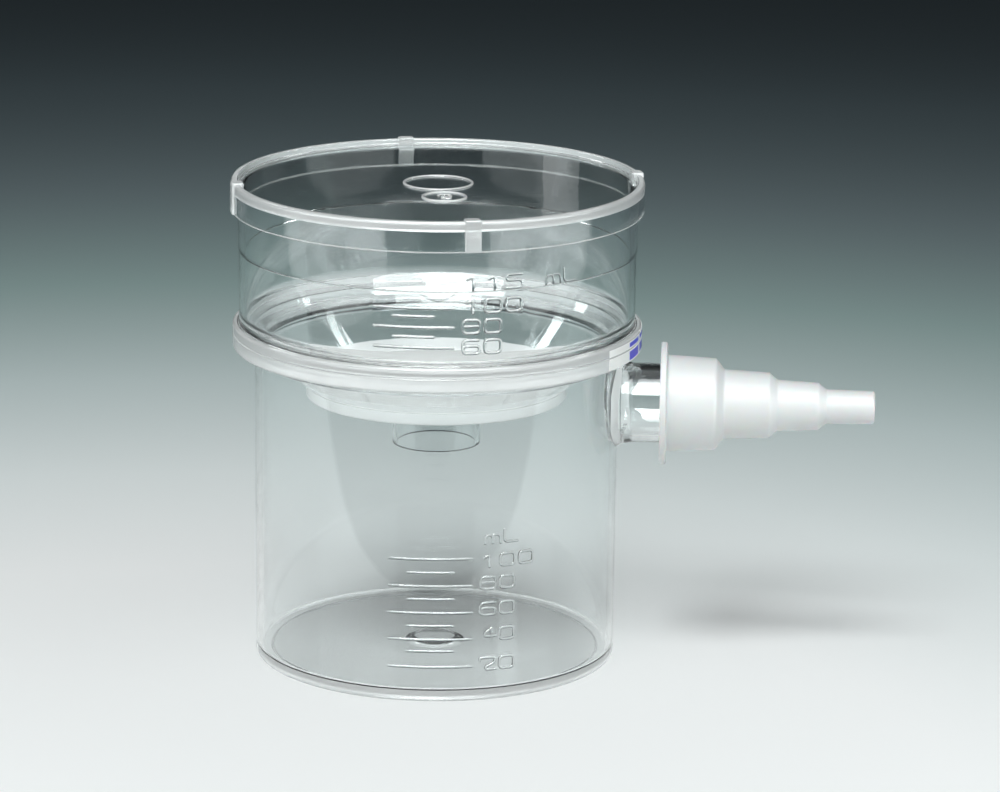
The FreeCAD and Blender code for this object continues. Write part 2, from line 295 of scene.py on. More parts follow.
def strip(radius, low, high, first, last, thickness, steps):
    """A thin band round a wall, between two angles in degrees, in millimetres."""
    made = bmesh.new()
    rows = []
    for step in range(steps + 1):
        angle = math.radians(first + (last - first) * step / steps)
        rows.append([made.verts.new(Vector((
            reach * math.cos(angle), reach * math.sin(angle), up)) * MM)
            for reach, up in ((radius, low), (radius + thickness, low),
                              (radius + thickness, high), (radius, high))])
    for row, following in zip(rows, rows[1:]):
        for corner in range(4):
            after = (corner + 1) % 4
            made.faces.new([row[corner], row[after], following[after], following[corner]])
    made.faces.new(rows[0])
    made.faces.new(list(reversed(rows[-1])))
    bmesh.ops.recalc_face_normals(made, faces=made.faces)
    return made


def merge(parts):
    """Put several meshes in one."""
    whole = bmesh.new()
    for part in parts:
        mesh = bpy.data.meshes.new("part")
        part.to_mesh(mesh)
        part.free()
        whole.from_mesh(mesh)
        bpy.data.meshes.remove(mesh)
    return whole


def place(made, name):
    """Make an object of a mesh, in the row's frame."""
    mesh = bpy.data.meshes.new(name)
    made.to_mesh(mesh)
    made.free()
    piece = bpy.data.objects.new(name, mesh)
    bpy.context.scene.collection.objects.link(piece)
    return piece


def baked(piece):
    """The piece's mesh with its modifiers made real, in place of the one it had."""
    bpy.context.view_layer.update()
    mesh = bpy.data.meshes.new_from_object(piece.evaluated_get(
        bpy.context.evaluated_depsgraph_get()))
    piece.modifiers.clear()
    spent = piece.data
    piece.data = mesh
    bpy.data.meshes.remove(spent)
    return mesh


def combine(piece, other, operation, crossing=False):
    """Join another closed mesh to a piece, or cut it out of the piece. A mesh whose own parts
    cross each other says so."""
    tool = place(other, piece.name + "_tool")
    change = piece.modifiers.new("combine", "BOOLEAN")
    change.operation = operation
    change.solver = "EXACT"
    change.use_self = crossing
    change.object = tool
    baked(piece)
    bpy.data.objects.remove(tool)


def wall_normal(face, corners, walls):
    """The outward slope of the turned wall that a face lies on, as radial and upright parts."""
    for (low_radius, low), (high_radius, high) in walls:
        slope = (high_radius - low_radius) / (high - low)
        if all(low - WALL_END_SLACK < up < high + WALL_END_SLACK
               and abs(low_radius + slope * (up - low) - across) < WALL_SLACK
               for across, up in corners):
            side = 1 if face.normal.dot(Vector((*face.center.xy, 0))) > 0 else -1
            return Vector((1, -slope)).normalized() * side
    return None


def true_normals(piece, walls):
    """Shade long walls straight and let the small bends between them turn, then shade flat faces
    as flat, and turned walls as perfectly round, whatever was joined to them. Walls are given as
    their two ends, each a radius and a height in millimetres."""
    even = piece.modifiers.new("even", "WEIGHTED_NORMAL")
    even.keep_sharp = True
    mesh = baked(piece)
    normals = [corner.vector.copy() for corner in mesh.corner_normals]
    for face in mesh.polygons:
        points = [mesh.vertices[index].co / MM for index in face.vertices]
        if abs(face.normal.z) > 0.9999:
            for loop in face.loop_indices:
                normals[loop] = face.normal.copy()
            continue
        corners = [(point.xy.length, point.z) for point in points]
        slope = wall_normal(face, corners, walls)
        if slope:
            for loop, point in zip(face.loop_indices, points):
                out = point.xy.normalized() * slope.x
                normals[loop] = Vector((out.x, out.y, slope.y))
    mesh.normals_split_custom_set([tuple(normal) for normal in normals])


def finish_zones(piece, material, zones):
    """Give another finish to faces in rings about the axis, each given as its inner and outer
    radius and its low and high end in millimetres, and whether faces that look inward count."""
    mesh = piece.data
    mesh.materials.append(material)
    last = len(mesh.materials) - 1
    for face in mesh.polygons:
        centre = face.center / MM
        across = centre.xy.length
        outward = face.normal.xy.dot(centre.xy) > -0.05 * across
        if any(inner <= across <= outer and low <= centre.z <= high and (outward or both)
               for inner, outer, low, high, both in zones):
            face.material_index = last


def finish_piece(piece, body, node, material, walls=(), sharp=38.0, satin=(), weld=()):
    """Smooth a piece, give it its material and seat it on its body in place of its solid."""
    mesh = piece.data
    mesh.materials.clear()
    mesh.materials.append(material)
    if satin:
        finish_zones(piece, satin_edge(), satin)
    if weld:
        finish_zones(piece, shared(welded_polystyrene, "crystal_polystyrene_welded"), weld)
    mesh.shade_smooth()
    mesh.set_sharp_from_angle(angle=math.radians(sharp))
    true_normals(piece, walls)
    if not piece.data.polygons:
        raise RuntimeError(piece.name + " has no faces")
    if node:
        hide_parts(node)
    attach(piece, body)


# ---------------------------------------------------------------- materials

def add_node(tree, kind, settings=None, links=None):
    """Add a node, set its settings, and set or link its inputs by name or number."""
    node = tree.nodes.new(kind)
    for name, value in (settings or {}).items():
        setattr(node, name, value)
    for name, value in (links or {}).items():
        if isinstance(value, bpy.types.NodeSocket):
            tree.links.new(value, node.inputs[name])
        else:
            node.inputs[name].default_value = value
    return node


def start_material(name):
    """An empty node material with its output and its place in the row's frame."""
    material = bpy.data.materials.new(name)
    material.use_nodes = True
    tree = material.node_tree
    tree.nodes.clear()
    output = add_node(tree, "ShaderNodeOutputMaterial")
    where = add_node(tree, "ShaderNodeTexCoord").outputs["Object"]
    return material, tree, output, where


def opaque(colour_value):
    """A colour with an alpha of 1."""
    return tuple(colour_value) + (1.0,)


def moulded_polystyrene(name, colours, clear=0.997, polish=0.006):
    """Crystal polystyrene from a polished mould: hard, clear and glossy, with a faint flow ripple
    that bends highlights a little and fine handling scuffs that dull them."""
    material, tree, output, where = start_material(name)
    ripple = add_node(tree, "ShaderNodeTexNoise", {}, {
        "Vector": where, "Scale": 1 / (9 * MM), "Detail": 2.0, "Roughness": 0.45})
    scuffs = add_node(tree, "ShaderNodeTexNoise", {}, {
        "Vector": where, "Scale": 1 / (1.1 * MM), "Detail": 5.0, "Roughness": 0.7})
    bump = add_node(tree, "ShaderNodeBump", {}, {
        "Height": ripple.outputs["Fac"], "Strength": 0.05, "Distance": 0.25 * MM})
    gloss = add_node(tree, "ShaderNodeMapRange", {}, {
        "Value": scuffs.outputs["Fac"], "From Min": 0.45, "From Max": 0.85,
        "To Min": polish, "To Max": polish + 0.035})
    tint = add_node(tree, "ShaderNodeMix", {"data_type": "RGBA"}, {
        "Factor": ripple.outputs["Fac"],
        6: opaque(colours.polystyrene),
        7: opaque([part * 0.985 for part in colours.polystyrene])})
    shader = add_node(tree, "ShaderNodeBsdfPrincipled", {}, {
        "Base Color": tint.outputs[2], "Roughness": gloss.outputs["Result"],
        "IOR": 1.59, "Transmission Weight": clear, "Normal": bump.outputs["Normal"]})
    # Scattered light goes straight on through the thin walls, so shadows under them stay pale.
    passed = add_node(tree, "ShaderNodeBsdfTransparent", {}, {"Color": (0.98, 0.985, 0.985, 1.0)})
    paths = add_node(tree, "ShaderNodeLightPath")
    scattered = add_node(tree, "ShaderNodeMath", {"operation": "MAXIMUM"}, {
        0: paths.outputs["Is Shadow Ray"], 1: paths.outputs["Is Diffuse Ray"]})
    both = add_node(tree, "ShaderNodeMixShader", {}, {
        0: scattered.outputs[0], 1: shader.outputs[0], 2: passed.outputs[0]})
    tree.links.new(both.outputs[0], output.inputs["Surface"])
    return material


def satin_polystyrene(name, colours):
    """The same polystyrene where the mould's halves meet: the steel there is only stoned, so rims
    and flange edges come out satin, scatter the light that runs in the walls and look whitish."""
    return moulded_polystyrene(name, colours, clear=0.52, polish=0.16)


def welded_polystyrene(name, colours):
    """Polystyrene that has bloomed where a hot weld holds the membrane: frosted nearly white."""
    return moulded_polystyrene(name, colours, clear=0.3, polish=0.22)


def cast_membrane(name, colours):
    """Microporous polyethersulfone cast as a film: bright, dead matt white with a papery grain."""
    material, tree, output, where = start_material(name)
    grain = add_node(tree, "ShaderNodeTexNoise", {}, {
        "Vector": where, "Scale": 1 / (0.35 * MM), "Detail": 4.0, "Roughness": 0.6})
    cloud = add_node(tree, "ShaderNodeTexNoise", {}, {
        "Vector": where, "Scale": 1 / (11 * MM), "Detail": 2.0})
    tint = add_node(tree, "ShaderNodeMix", {"data_type": "RGBA"}, {
        "Factor": cloud.outputs["Fac"],
        6: opaque(colours.membrane),
        7: opaque([part * 0.95 for part in colours.membrane])})
    bump = add_node(tree, "ShaderNodeBump", {}, {
        "Height": grain.outputs["Fac"], "Strength": 0.25, "Distance": 0.03 * MM})
    shader = add_node(tree, "ShaderNodeBsdfPrincipled", {}, {
        "Base Color": tint.outputs[2], "Roughness": 0.92, "Specular IOR Level": 0.05,
        "Normal": bump.outputs["Normal"]})
    tree.links.new(shader.outputs[0], output.inputs["Surface"])
    return material


def moulded_polypropylene(name, colours):
    """White polypropylene from a spark-eroded mould: soft satin white with a very fine even grain
    and a little light bleeding through its edges."""
    material, tree, output, where = start_material(name)
    grain = add_node(tree, "ShaderNodeTexNoise", {}, {
        "Vector": where, "Scale": 1 / (0.22 * MM), "Detail": 3.0, "Roughness": 0.55})
    cloud = add_node(tree, "ShaderNodeTexNoise", {}, {
        "Vector": where, "Scale": 1 / (8 * MM), "Detail": 2.0})
    tint = add_node(tree, "ShaderNodeMix", {"data_type": "RGBA"}, {
        "Factor": cloud.outputs["Fac"],
        6: opaque(colours.adapter),
        7: opaque([part * 0.96 for part in colours.adapter])})
    sheen = add_node(tree, "ShaderNodeMapRange", {}, {
        "Value": grain.outputs["Fac"], "To Min": 0.42, "To Max": 0.58})
    bump = add_node(tree, "ShaderNodeBump", {}, {
        "Height": grain.outputs["Fac"], "Strength": 0.18, "Distance": 0.02 * MM})
    shader = add_node(tree, "ShaderNodeBsdfPrincipled", {}, {
        "Base Color": tint.outputs[2], "Roughness": sheen.outputs["Result"], "IOR": 1.49,
        "Subsurface Weight": 0.35, "Subsurface Scale": 1.2 * MM,
        "Normal": bump.outputs["Normal"]})
    tree.links.new(shader.outputs[0], output.inputs["Surface"])
    return material


def painted_pool_paper(name, colours):
    """Seamless background paper: matt, with a faint tooth. Its colour holds a painted pool of
    light: palest round the unit and falling off evenly to a dark slate, painted shade for the fall
    of studio light away from the unit."""
    material, tree, output, where = start_material(name)
    # The distance from a spot just in front of the unit sets the painted pool of light.
    pool = add_node(tree, "ShaderNodeVectorMath", {"operation": "DISTANCE"}, {
        0: where, 1: (-0.04, -0.09, 0.0)})
    fall = add_node(tree, "ShaderNodeMath", {"operation": "DIVIDE"}, {
        0: pool.outputs["Value"], 1: 0.385})
    square = add_node(tree, "ShaderNodeMath", {"operation": "POWER"}, {
        0: fall.outputs[0], 1: 2.0})
    drop = add_node(tree, "ShaderNodeMath", {"operation": "MULTIPLY"}, {
        0: square.outputs[0], 1: -1.0})
    light = add_node(tree, "ShaderNodeMath", {"operation": "EXPONENT"}, {0: drop.outputs[0]})
    # The ramp paints the light's falloff: pale in the pool, darker and darker away from it.
    shade = add_node(tree, "ShaderNodeValToRGB", {}, {"Fac": light.outputs[0]})
    steps = shade.color_ramp.elements
    steps[0].position, steps[0].color = 0.0, opaque(colours.floor_painted_falloff)
    steps[1].position, steps[1].color = 1.0, opaque(colours.floor_painted_lit)
    for step, code in ((0.04, "#5E6B70"), (0.15, "#819094"), (0.32, "#A5BCBA"),
                       (0.53, "#D4E1E1"), (0.72, "#EDF3F3"), (0.87, "#F5F6F6")):
        steps.new(step).color = linear(code)
    tooth = add_node(tree, "ShaderNodeTexNoise", {}, {
        "Vector": where, "Scale": 1 / (0.8 * MM), "Detail": 3.0})
    bump = add_node(tree, "ShaderNodeBump", {}, {
        "Height": tooth.outputs["Fac"], "Strength": 0.05, "Distance": 0.05 * MM})
    shader = add_node(tree, "ShaderNodeBsdfPrincipled", {}, {
        "Base Color": shade.outputs["Color"], "Roughness": 0.85, "Specular IOR Level": 0.0,
        "Normal": bump.outputs["Normal"]})
    tree.links.new(shader.outputs[0], output.inputs["Surface"])
    return material


def seal_film(name, colours):
    """White polypropylene label film with a calendered face: soft sheen over a faint cloudy
    mottle."""
    material, tree, output, where = start_material(name)
    mottle = add_node(tree, "ShaderNodeTexNoise", {}, {
        "Vector": where, "Scale": 1 / (2.5 * MM), "Detail": 3.0})
    tint = add_node(tree, "ShaderNodeMix", {"data_type": "RGBA"}, {
        "Factor": mottle.outputs["Fac"],
        6: opaque(colours.membrane),
        7: opaque([part * 0.93 for part in colours.membrane])})
    shader = add_node(tree, "ShaderNodeBsdfPrincipled", {}, {
        "Base Color": tint.outputs[2], "Roughness": 0.38, "IOR": 1.49})
    tree.links.new(shader.outputs[0], output.inputs["Surface"])
    return material


def seal_ink(name, colours):
    """Blue flexographic ink on that film: strong and even, with the slight ribbing of a soft
    printing plate and a little more gloss than the bare film."""
    material, tree, output, where = start_material(name)
    ribs = add_node(tree, "ShaderNodeTexNoise", {}, {
        "Vector": where, "Scale": 1 / (0.9 * MM), "Detail": 2.0})
    tint = add_node(tree, "ShaderNodeMix", {"data_type": "RGBA"}, {
        "Factor": ribs.outputs["Fac"],
        6: opaque(colours.ink),
        7: opaque([part * 0.8 for part in colours.ink])})
    shader = add_node(tree, "ShaderNodeBsdfPrincipled", {}, {
        "Base Color": tint.outputs[2], "Roughness": 0.3, "IOR": 1.5})
    tree.links.new(shader.outputs[0], output.inputs["Surface"])
    return material


def velvet_card(name, _colours):
    """Card flocked with black nylon: its short upright fibres swallow nearly all light. It is
    there for what the plastic mirrors, and light that is only bent goes on to the floor."""
    material, tree, output, where = start_material(name)
    flock = add_node(tree, "ShaderNodeTexNoise", {}, {
        "Vector": where, "Scale": 1 / (0.6 * MM), "Detail": 2.0})
    shade = add_node(tree, "ShaderNodeMix", {"data_type": "RGBA"}, {
        "Factor": flock.outputs["Fac"], 6: linear("#1B1D1E"), 7: linear("#26292A")})
    shader = add_node(tree, "ShaderNodeBsdfPrincipled", {}, {
        "Base Color": shade.outputs[2], "Roughness": 1.0, "Specular IOR Level": 0.0})
    beyond = add_node(tree, "ShaderNodeBsdfTransparent")
    paths = add_node(tree, "ShaderNodeLightPath")
    mirrored = add_node(tree, "ShaderNodeMath", {"operation": "MINIMUM"}, {
        0: paths.outputs["Glossy Depth"], 1: 1.0})
    both = add_node(tree, "ShaderNodeMixShader", {}, {
        0: mirrored.outputs[0], 1: beyond.outputs[0], 2: shader.outputs[0]})
    tree.links.new(both.outputs[0], output.inputs["Surface"])
    return material


def shared(maker, name):
    """The material of this name, made the first time it is asked for."""
    found = bpy.data.materials.get(name)
    return found or maker(name, bpy.context.scene.filtration_colours)


def clear_moulding():
    """The plastic of the clear pieces."""
    return shared(moulded_polystyrene, "crystal_polystyrene_polished")


def satin_edge():
    """The plastic of their rims and flange edges."""
    return shared(satin_polystyrene, "crystal_polystyrene_satin_edge")


# ---------------------------------------------------------------- scale marks and numbers

CHAMBER_MARK_SIDE = -93.2
RECEIVER_MARK_SIDE = -88.0


def scale_relief(radius, side, marks, labels, relief, width, height, pitch, stroke):
    """Scale bars and figures to join to a wall. Labels are words, a start angle and a height."""
    sunk = 0.25
    lines = [wrap(bar, radius * MM, 0, 0)
             for bar in bars(side, radius, marks, stroke, relief, sunk)]
    for words, start, low in labels:
        lines += [wrap(line, radius * MM, start, low * MM)
                  for line in figures(words, width, height, pitch, stroke, relief, sunk)]
    return merge(lines)


# ---------------------------------------------------------------- operators

class FILTRATION_OT_make_lid(bpy.types.Operator):
    """Make the lid: a disc with a raised rim, a skirt, four lugs and two plain rings"""
    bl_idname = "filtration.make_lid"
    bl_label = "Make Lid"

    def execute(self, context):
        sizes = context.scene.filtration_lid
        top = LID_TOP
        radius = LID_RADIUS
        foot = LID_LOW.z / MM
        plate_top = top - 1.0
        ring_top = plate_top + 0.28
        plate_foot = plate_top - sizes.plate / MM + 0.03
        rim = radius - sizes.rim_width / MM
        skirt = radius - sizes.skirt_wall / MM
        ring = sizes.ring_radius / MM
        piece = place(turn([
            (0, plate_foot, 0), (skirt, plate_foot, 0.5), (skirt, foot, 0.25),
            (radius, foot, 0.35), (radius, plate_foot - 0.3, 0), (radius, top, 0.55),
            (rim, top, 0.35), (rim, plate_top, 0.4), (ring + 0.3, plate_top, 0.1),
            (ring + 0.2, ring_top, 0.1), (ring - 0.2, ring_top, 0.1),
            (ring - 0.3, plate_top, 0.1), (0, plate_top, 0),
        ]), "lid_shell")
        lug_size = Vector((2.55, 3.2, 6.35))
        lug_middle = Vector((39.77, 0, 93.73))
        lug_turn = 13
        lugs = []
        for quarter in range(4):
            lug = bmesh.new()
            bmesh.ops.create_cube(lug, size=1.0)
            bmesh.ops.scale(lug, verts=lug.verts, vec=lug_size * MM)
            bmesh.ops.translate(lug, verts=lug.verts, vec=lug_middle * MM)
            for vertex in lug.verts:
                if vertex.co.x < 39 * MM and vertex.co.z < 93 * MM:
                    vertex.co.x = 39.9 * MM
            bmesh.ops.bevel(lug, geom=lug.edges[:], offset=0.35 * MM, segments=3,
                            profile=0.5, affect="EDGES")
            turned = Matrix.Rotation(math.radians(lug_turn + 90 * quarter), 3, "Z")
            bmesh.ops.rotate(lug, verts=lug.verts, cent=Vector(), matrix=turned)
            lugs.append(lug)
        small = sizes.small_ring_radius / MM
        sunk, proud = 0.2, 0.26
        ring_mesh = turn([
            (small - 0.35, plate_top - sunk, 0), (small + 0.35, plate_top - sunk, 0),
            (small + 0.2, plate_top + proud, 0.12), (small - 0.2, plate_top + proud, 0.12),
        ], segments=64)
        width, height = 3.0, 3.6
        number = figures("2", width, height, 4.0, 0.55, proud, sunk)
        for line in number:
            middle = Vector((-width / 2, -height / 2, plate_top))
            bmesh.ops.translate(line, verts=line.verts, vec=middle * MM)
        small_mark = merge([ring_mesh] + number)
        reach = sizes.small_ring_reach
        bmesh.ops.translate(small_mark, verts=small_mark.verts, vec=Vector((0.002, -reach, 0)))
        combine(piece, merge(lugs + [small_mark]), "UNION", crossing=True)
        walls = [((radius, foot), (radius, top)), ((skirt, foot), (skirt, top))]
        satin = [(rim - 0.1, radius + 0.5, plate_foot - 0.2, top + 0.5, False),
                 (skirt, radius + 0.1, foot - 0.1, foot + 0.4, False),
                 (radius + 0.05, radius + 0.5, foot - 0.5, top + 0.5, True),
                 (0.0, 20.0, plate_top + 0.05, top, True)]
        finish_piece(piece, "lid", "lid", clear_moulding(), walls,
                     satin=satin)
        return {"FINISHED"}


class FILTRATION_OT_make_chamber(bpy.types.Operator):
    """Make the funnel: its graduated wall, flange, shoulder and cone, with marks and numbers"""
    bl_idname = "filtration.make_chamber"
    bl_label = "Make Upper Chamber"

    def execute(self, context):
        sizes = context.scene.filtration_funnel
        top = FUNNEL_HIGH.z / MM - 0.05
        foot = FUNNEL_LOW.z / MM
        radius = 39.4
        lower = 39.22
        bore = radius - sizes.wall / MM
        band = sizes.band_height / MM
        flange_top = 67.9
        seat = 65.93
        cone_foot = foot + 0.02
        inner_end = (33.7, 63.4)
        outer_end = (33.7, 61.75)
        inner_start = (24.0, cone_foot)
        outer_start = (26.08, cone_foot)
        weld_end = (26.86, 57.9)
        piece = place(turn([
            (radius, top, 0.5), (radius, band + 0.28, 0), (lower - 0.12, band + 0.1, 0),
            (lower, band - 0.1, 0), (lower, flange_top, 0.5), (FLANGE_RADIUS, flange_top, 0.55),
            (FLANGE_RADIUS, seat, 0.3), (37.58, seat, 0.3), (*outer_end, 1.6),
            (*outer_start, 0.3), (*inner_start, 0.2), (*weld_end, 0), (*inner_end, 0.8),
            (34.6, 65.3, 0.6), (bore, 69.2, 3.6), (bore, top, 0.35),
        ]), "chamber_shell")
        marks = [(71.8, 11.1), (73.9, 5.6), (75.75, 11.1), (77.9, 5.6), (79.5, 11.1)]
        side = -79.8
        labels = [("60", side, 70.3), ("80", side, 74.25), ("100", side, 78.2),
                  ("115 mL", side, 82.75)]
        relief = scale_relief(lower, CHAMBER_MARK_SIDE, marks, labels, sizes.relief / MM,
                              3.85, sizes.letter_height / MM, 4.2, 0.66)
        combine(piece, relief, "UNION", crossing=True)
        walls = [((lower, flange_top), (lower, band)), ((radius, band), (radius, top)),
                 ((bore, 70.0), (bore, top)), (inner_start, inner_end),
                 (outer_start, outer_end)]
        finish_piece(piece, "funnel", "upper_chamber", clear_moulding(),
                     walls, satin=[(39.55, 41.0, 65.9, 68.0, False)],
                     weld=[(23.8, 26.9, foot - 0.1, 57.95, True)])
        return {"FINISHED"}


class FILTRATION_OT_make_membrane(bpy.types.Operator):
    """Make the filter membrane: a thin matt disc held by its rim"""
    bl_idname = "filtration.make_membrane"
    bl_label = "Make Membrane"

    def execute(self, context):
        low = MEMBRANE_LOW.z / MM + 0.02
        high = MEMBRANE_HIGH.z / MM - 0.01
        radius = 25.85
        piece = place(turn([
            (0, low, 0), (radius, low, 0.05), (radius, high, 0.05), (0, high, 0),
        ]), "filter_membrane")
        finish_piece(piece, "funnel", "membrane",
                     shared(cast_membrane, "cast_polyethersulfone"))
        return {"FINISHED"}


class FILTRATION_OT_make_drain_plate(bpy.types.Operator):
    """Make the plate under the membrane, with its drain ribs and drip tube"""
    bl_idname = "filtration.make_drain_plate"
    bl_label = "Make Drain Plate"

    def execute(self, context):
        top = PLATE_HIGH.z / MM
        foot = 53.1
        tube_foot = PLATE_LOW.z / MM
        radius, dish, dish_floor = 25.9, 24.25, 54.1
        tube, bore = 8.75, 7.95
        piece = place(turn([
            (radius, top, 0.2), (radius, foot, 0.45), (tube, foot, 0.5), (tube, tube_foot, 0.2),
            (bore, tube_foot, 0.2), (bore, dish_floor, 0.2), (dish, dish_floor, 0.3),
            (dish, top, 0.15),
        ]), "drain_plate")
        rib_count, rib_width, rib_end, rib_root = 40, 0.6, 24.5, 53.85
        ribs = []
        for number in range(rib_count):
            rib = bmesh.new()
            # Every fifth rib runs on to the middle, across the drip tube's mouth.
            inner = 8.3 if number % 5 else 0.0
            size = Vector((rib_end - inner, rib_width, top - rib_root))
            middle = Vector(((rib_end + inner) / 2, 0, (top + rib_root) / 2))
            turned = Matrix.Rotation(FULL_TURN * number / rib_count, 3, "Z")
            bmesh.ops.create_cube(rib, size=1.0)
            bmesh.ops.scale(rib, verts=rib.verts, vec=size * MM)
            bmesh.ops.translate(rib, verts=rib.verts, vec=middle * MM)
            bmesh.ops.rotate(rib, verts=rib.verts, cent=Vector(), matrix=turned)
            ribs.append(rib)
        combine(piece, merge(ribs), "UNION", crossing=True)
        finish_piece(piece, "funnel", "support_plate", clear_moulding(),
                     satin=[(7.5, 9.0, 47.0, 47.6, True)],
                     weld=[(24.0, 26.5, 52.9, 55.4, False), (8.9, 26.5, 52.9, 53.3, False)])
        return {"FINISHED"}


class FILTRATION_OT_make_receiver(bpy.types.Operator):
    """Make the receiver: the graduated cup with its flange, side arm, marks and numbers"""
    bl_idname = "filtration.make_receiver"
    bl_label = "Make Receiver"

    def execute(self, context):
        sizes = context.scene.filtration_receiver
        wall = sizes.wall / MM
        floor = sizes.floor / MM
        top = RECEIVER_HIGH.z / MM - 0.03
        arm_end = RECEIVER_HIGH.x / MM
        foot_radius, head_radius = 35.85, 36.1
        outer_start = (35.86, 2.4)
        outer_end = (head_radius, 61.6)
        inner_end = (head_radius - wall, 62.4)
        flange_foot = 63.0
        recess, gate, gate_top = 0.6, 5.8, 4.2
        piece = place(turn([
            (0, 1.5, 0), (gate_top, 1.5, 0.5), (gate, recess, 0.4), (32.4, recess, 0.3),
            (32.8, 0.0, 0.2), (foot_radius, 0.0, 0.95), (*outer_start, 0), (*outer_end, 1.2),
            (37.4, flange_foot, 0.4), (FLANGE_RADIUS, flange_foot, 0.7),
            (FLANGE_RADIUS, top, 0.3), (37.9, top, 0.3), (*inner_end, 1.0),
            (foot_radius - wall, floor, 0.4), (gate, floor, 0.5), (gate_top, floor + 0.7, 0.6),
            (0, floor + 0.7, 0),
        ]), "receiver_shell")
        marks = [(7.2, 12.8), (10.4, 7.0), (12.75, 12.8), (15.5, 7.0), (18.1, 12.8),
                 (20.9, 7.0), (23.5, 12.8), (26.25, 7.0), (28.95, 12.8)]
        side = -72.8
        labels = [("20", side, 6.1), ("40", side, 12.0), ("60", side, 17.2),
                  ("80", side, 22.4), ("100", side, 26.9), ("mL", -71.5, 31.6)]
        relief = scale_relief(35.95, RECEIVER_MARK_SIDE, marks, labels, sizes.relief / MM,
                              3.6, sizes.letter_height / MM, 3.95, 0.6)
        combine(piece, relief, "UNION", crossing=True)
        arm_radius, arm_bore, arm_mouth = 7.9, 6.5, 6.8
        arm = turn([
            (0, 34.9, 0), (9.6, 34.9, 0), (8.35, 36.6, 1.2), (arm_radius, 39.0, 1.5),
            (arm_radius, arm_end, 0.5), (0, arm_end, 0),
        ], axis=X_AXIS, segments=ARM_SEGMENTS, height=ARM_HEIGHT)
        combine(piece, arm, "UNION")
        bore = turn([
            (0, 30.0, 0), (8.2, 30.0, 0), (7.3, 34.6, 0.5), (arm_bore, 35.8, 0.6),
            (arm_bore, arm_end - 0.3, 0), (arm_mouth, arm_end + 0.2, 0),
            (arm_mouth, arm_end + 3, 0), (0, arm_end + 3, 0),
        ], axis=X_AXIS, segments=ARM_SEGMENTS, height=ARM_HEIGHT)
        combine(piece, bore, "DIFFERENCE")
        walls = [(outer_start, outer_end), ((foot_radius - wall, floor), inner_end),
                 ((FLANGE_RADIUS, flange_foot), (FLANGE_RADIUS, top))]
        finish_piece(piece, "receiver", "receiver", clear_moulding(), walls,
                     satin=[(39.9, 41.0, 63.0, 66.0, False), (32.0, 36.4, -0.1, 2.2, False),
                            (33.7, 34.6, floor - 0.1, floor + 0.5, True),
                            (36.3, 37.4, 42.0, 62.0, False)])
        return {"FINISHED"}


class FILTRATION_OT_make_adapter(bpy.types.Operator):
    """Make the stepped tubing adapter"""
    bl_idname = "filtration.make_adapter"
    bl_label = "Make Tubing Adapter"

    def execute(self, context):
        start = ADAPTER_LOW.x / MM
        end = ADAPTER_HIGH.x / MM
        socket, socket_end = 7.95, 54.7
        flange, flange_end = 12.1, start + 1.3
        wide_bore, narrow_bore, narrow_start = 3.5, 2.1, 75.8
        piece = place(turn([
            (socket, start, 0.2), (flange, start, 0.35), (flange, flange_end, 0.4),
            (9.6, flange_end, 0.6), (9.1, 55.5, 1.0), (6.95, 57.1, 0.7), (6.5, 66.1, 0.9),
            (5.1, 67.7, 0.6), (4.7, 75.8, 0.8), (3.4, 77.4, 0.5), (3.3, end, 1.2),
            (narrow_bore, end, 0.3), (narrow_bore, narrow_start, 0.0),
            (wide_bore, narrow_start, 0.0), (wide_bore, socket_end, 0.3),
            (socket, socket_end, 0.3),
        ], axis=X_AXIS, segments=144, height=ARM_HEIGHT), "hose_adapter")
        finish_piece(piece, "adapter", "tubing_adapter",
                     shared(moulded_polypropylene, "polypropylene_satin"))
        return {"FINISHED"}


class FILTRATION_OT_make_seals(bpy.types.Operator):
    """Make the two printed seal strips on the flanges, parted where the flanges meet"""
    bl_idname = "filtration.make_seals"
    bl_label = "Make Seal Strips"

    def execute(self, context):
        first, last = -31.0, 30.0
        fields = ((-18.4, -9.5), (-7.5, 10.5), (12.5, 27.0))
        reach = 40.53
        for name, body, low, high in (("funnel_seal", "funnel", 66.05, 67.45),
                                      ("receiver_seal", "receiver", 63.45, 65.70)):
            film = strip(reach, low, high, first, last, 0.06, 60)
            ink = [strip(reach + 0.055, low + 0.25, high - 0.25, start, end, 0.015, 24)
                   for start, end in fields]
            printed = len(film.faces)
            piece = place(merge([film] + ink), name)
            finish_piece(piece, body, None, shared(seal_film, "label_film_calendered"))
            piece.data.materials.append(shared(seal_ink, "label_ink_flexographic"))
            for face in piece.data.polygons[printed:]:
                face.material_index = 1
        return {"FINISHED"}


CAMERA_SIDE = -86.56


def add_light(name, where, aim, size, power):
    """A soft rectangular studio light that lights the unit but isn't in the view itself."""
    lamp = bpy.data.lights.new(name, "AREA")
    lamp.shape = "RECTANGLE"
    lamp.size, lamp.size_y = size
    lamp.energy = power
    lamp.color = (0.97, 1.0, 1.0)
    holder = bpy.data.objects.new(name, lamp)
    holder.location = where
    holder.rotation_euler = (Vector(aim) - Vector(where)).to_track_quat("-Z", "Y").to_euler()
    holder.visible_camera = False
    bpy.context.scene.collection.objects.link(holder)
    return holder


